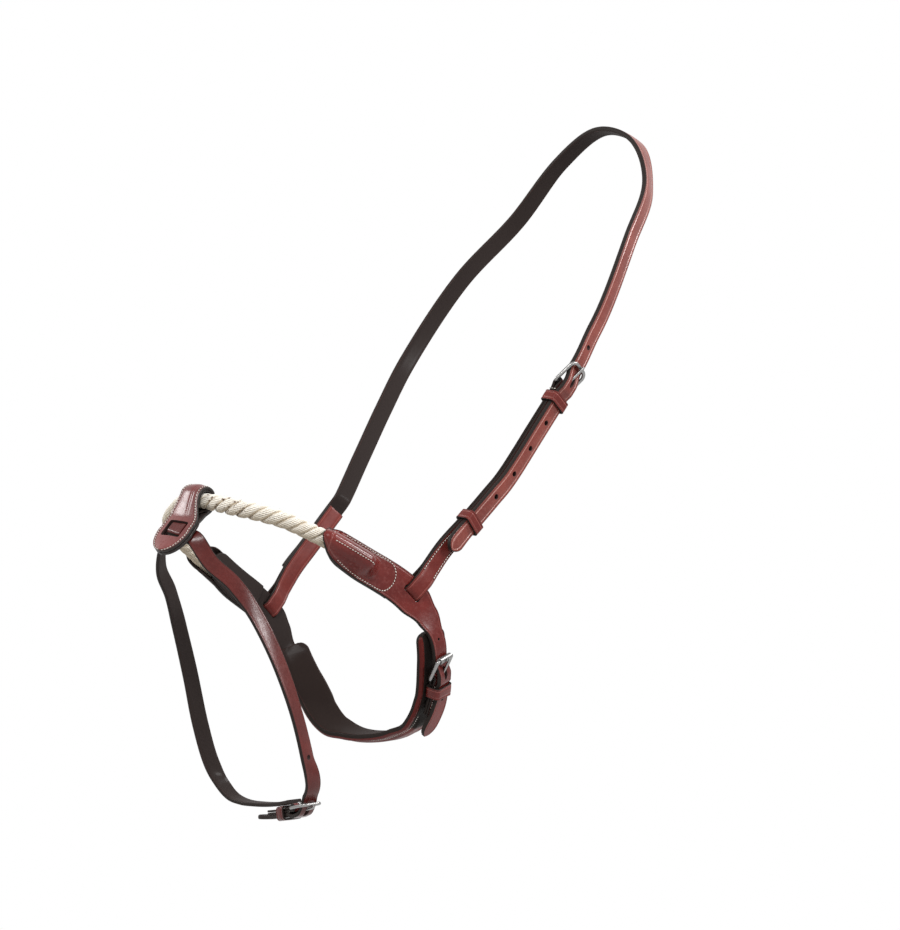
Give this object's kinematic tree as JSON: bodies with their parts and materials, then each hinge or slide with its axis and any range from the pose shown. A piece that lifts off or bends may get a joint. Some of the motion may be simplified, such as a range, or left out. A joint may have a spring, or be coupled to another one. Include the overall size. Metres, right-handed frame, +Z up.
{
  "type": "rope noseband with flash strap",
  "caption": "Rope noseband with leather cheek pieces, buckled chin strap, flash loop with its strap, and a buckled headpiece with hangers.",
  "frame": {"origin": "under the middle of the head strap, where it lies over the poll", "axes": "+X the horse's left (near side), -Y the way the horse faces, +Z up"},
  "size_m": [0.2217, 0.4096, 0.5218],
  "materials": {
    "head_leather": "smooth, lightly waxed",
    "noseband_leather": "smooth, polished",
    "loop_leather": "smooth, polished",
    "lining_leather": "matt",
    "rope": "matt, twisted",
    "steel": "polished stainless"
  },
  "bodies": {
    "headpiece": {"head_strap": "head_leather", "near_hanger": "head_leather", "off_hanger": "head_leather", "head_keeper": "head_leather", "head_buckle_frame": "steel"},
    "runner": {"head_runner": "head_leather"},
    "head_tongue": {"head_buckle_tongue": "steel"},
    "noseband": {"nose_rope": "rope", "near_cheek_piece": "noseband_leather", "off_cheek_piece": "noseband_leather", "near_cheek_lining": "lining_leather", "off_cheek_lining": "lining_leather", "chin_strap": "noseband_leather", "chin_chape": "noseband_leather", "chin_keeper": "noseband_leather", "chin_buckle_frame": "steel"},
    "chin_roller": {"chin_buckle_roller": "steel"},
    "chin_tongue": {"chin_buckle_tongue": "steel"},
    "flash": {"flash_loop": "loop_leather", "flash_loop_tab": "loop_leather", "flash_loop_bridge": "loop_leather", "flash_strap": "noseband_leather", "flash_chape": "noseband_leather", "flash_keeper": "noseband_leather", "flash_buckle_frame": "steel"},
    "flash_tongue": {"flash_buckle_tongue": "steel"}
  },
  "joints": [
    {"name": "noseband_swing", "type": "hinge", "parent": "headpiece", "child": "noseband", "pos_m": [0, -0.2461, -0.36581], "axis": [1, 0, 0], "range_deg": [-6, 4]},
    {"name": "flash_swing", "type": "hinge", "parent": "noseband", "child": "flash", "pos_m": [0.01017, -0.369, -0.30892], "axis": [0.9586, 0.223, -0.1771], "range_deg": [-12, 12]},
    {"name": "runner_slide", "type": "slide", "parent": "headpiece", "child": "runner", "axis": [0.0965, 0.6828, 0.7242], "range_m": [-0.002, 0.02]},
    {"name": "head_tongue_turn", "type": "hinge", "parent": "headpiece", "child": "head_tongue", "pos_m": [0.10114, -0.13233, -0.21951], "axis": [-0.2326, 0.8308, -0.5056], "range_deg": [0, 3]},
    {"name": "chin_roller_spin", "type": "hinge", "parent": "noseband", "child": "chin_roller", "pos_m": [0.08328, -0.22188, -0.40999], "axis": [-0.1885, 0.8992, 0.3949], "continuous": true},
    {"name": "chin_tongue_turn", "type": "hinge", "parent": "noseband", "child": "chin_tongue", "pos_m": [0.07251, -0.21943, -0.4207], "axis": [-0.1885, 0.8992, 0.3949], "range_deg": [0, 3]},
    {"name": "flash_tongue_turn", "type": "hinge", "parent": "flash", "child": "flash_tongue", "pos_m": [0.03163, -0.30261, -0.50817], "axis": [0.073, 0.9903, 0.1178], "range_deg": [0, 3]}
  ]
}
